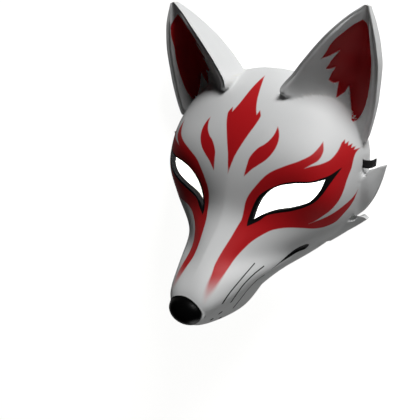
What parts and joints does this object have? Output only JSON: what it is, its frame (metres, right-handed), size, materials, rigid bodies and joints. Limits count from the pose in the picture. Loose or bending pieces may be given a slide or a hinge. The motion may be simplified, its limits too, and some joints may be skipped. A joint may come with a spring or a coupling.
{
  "type": "fox mask",
  "caption": "Full-face fox mask with pricked ears, a long snout, open eyes and a flat elastic strap, lying face up.",
  "frame": {"origin": "under the middle of the mask's box, on the flat plane that the rim rests on", "axes": "+X to the right of someone looking at the face, +Y from the chin to the ears, +Z out of the face, up from the floor"},
  "size_m": [0.2044, 0.2466, 0.13],
  "materials": {
    "white_shell": "satin",
    "black_elastic": "woven"
  },
  "bodies": {
    "root": {"mask_shell": "white_shell", "strap": "black_elastic"}
  },
  "joints": []
}
